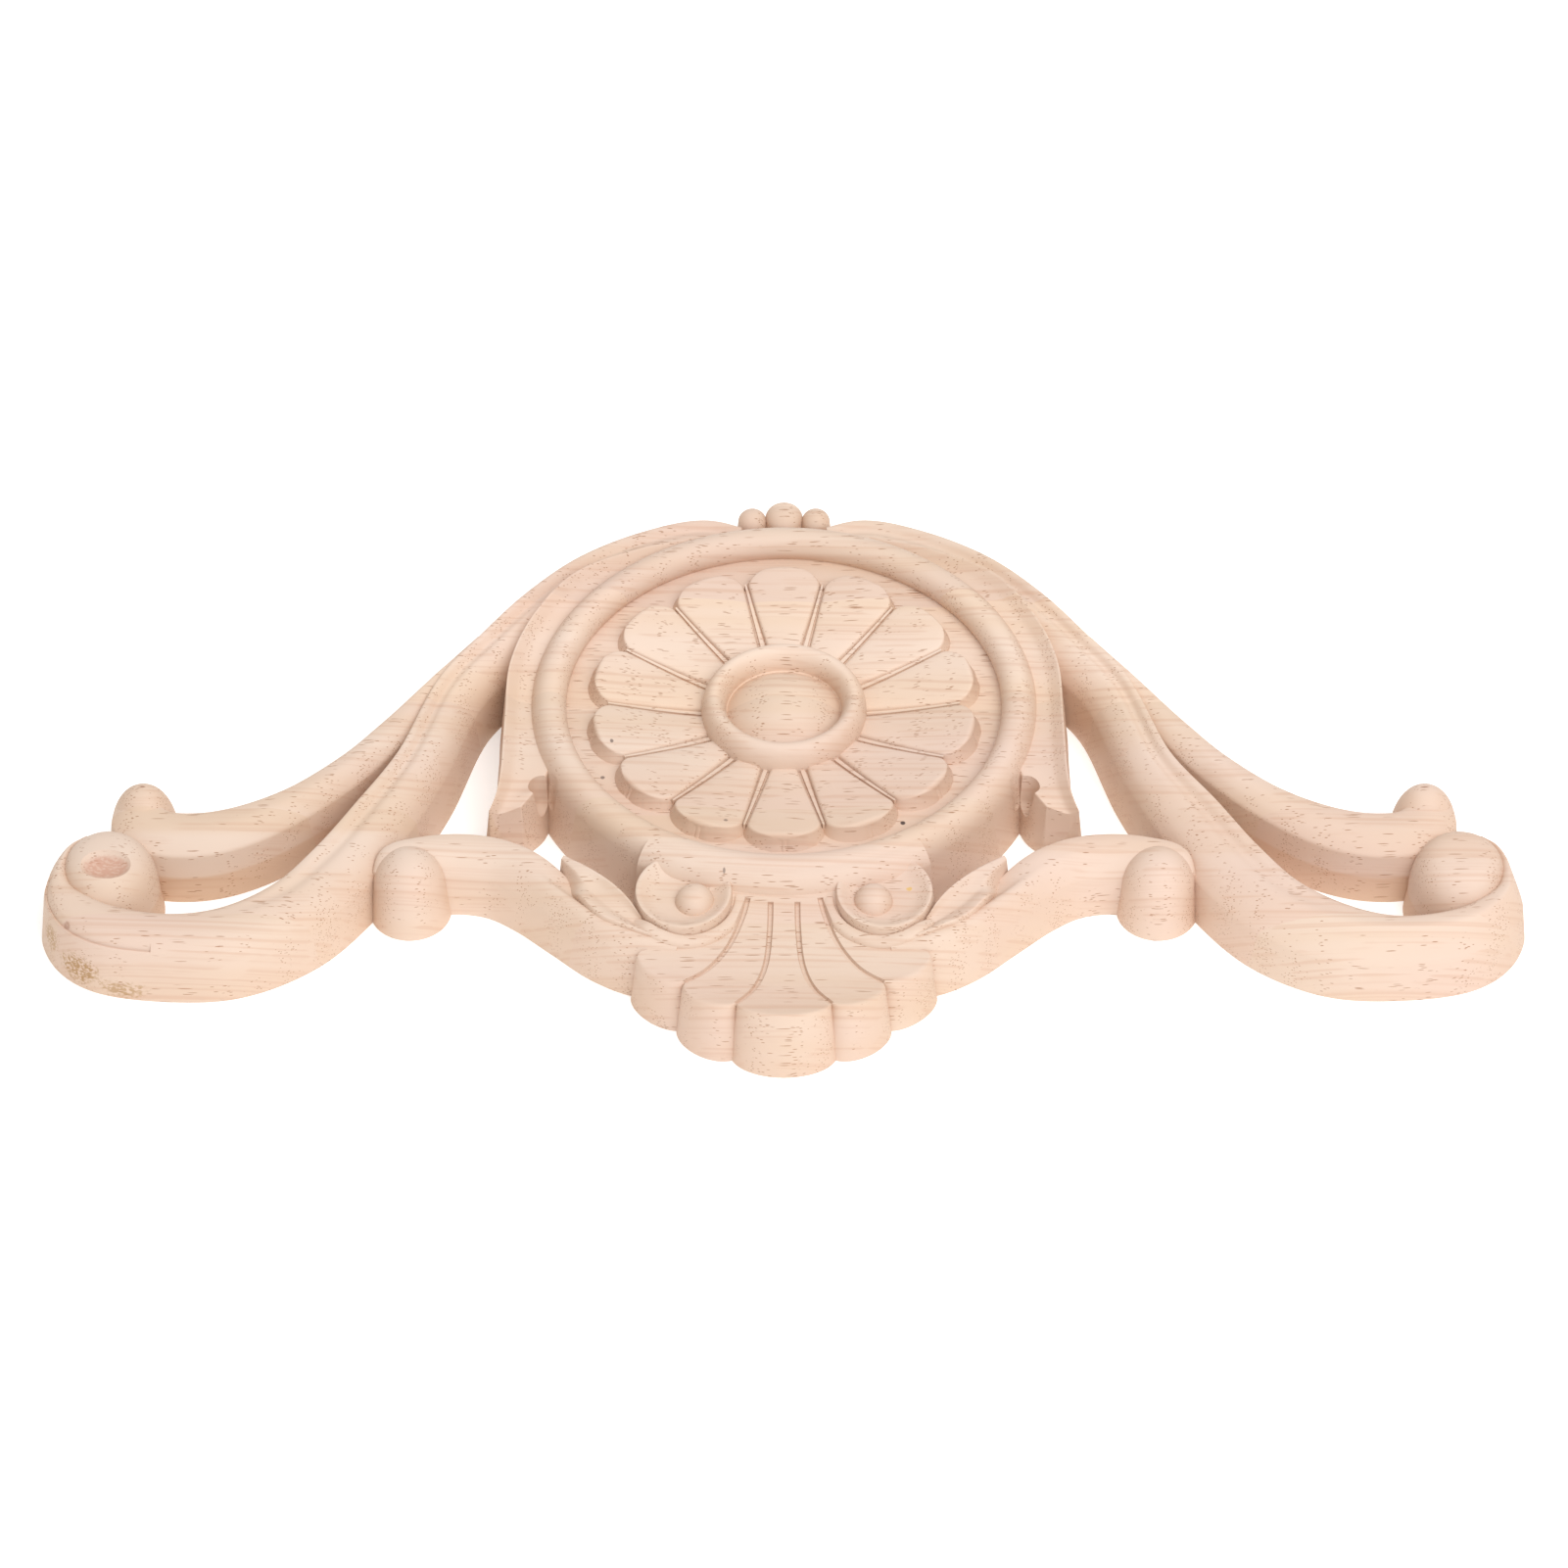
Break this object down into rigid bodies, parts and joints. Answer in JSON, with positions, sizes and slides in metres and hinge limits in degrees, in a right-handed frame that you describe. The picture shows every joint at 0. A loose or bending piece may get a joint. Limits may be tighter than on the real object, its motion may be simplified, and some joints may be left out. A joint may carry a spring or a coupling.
{
  "type": "wood applique",
  "caption": "Carved wooden applique: a flower medallion held between two S-scrolls, with a scooped shell below and small lobes on top.",
  "frame": {"origin": "on the flat back, at the medallion's centre", "axes": "+X to the ornament's right along its length, +Y to its top, +Z out of the carved face"},
  "size_m": [0.4022, 0.2104, 0.0236],
  "materials": {
    "wood": "sanded, unpainted, no lacquer"
  },
  "bodies": {
    "root": {"applique": "wood"}
  },
  "joints": []
}
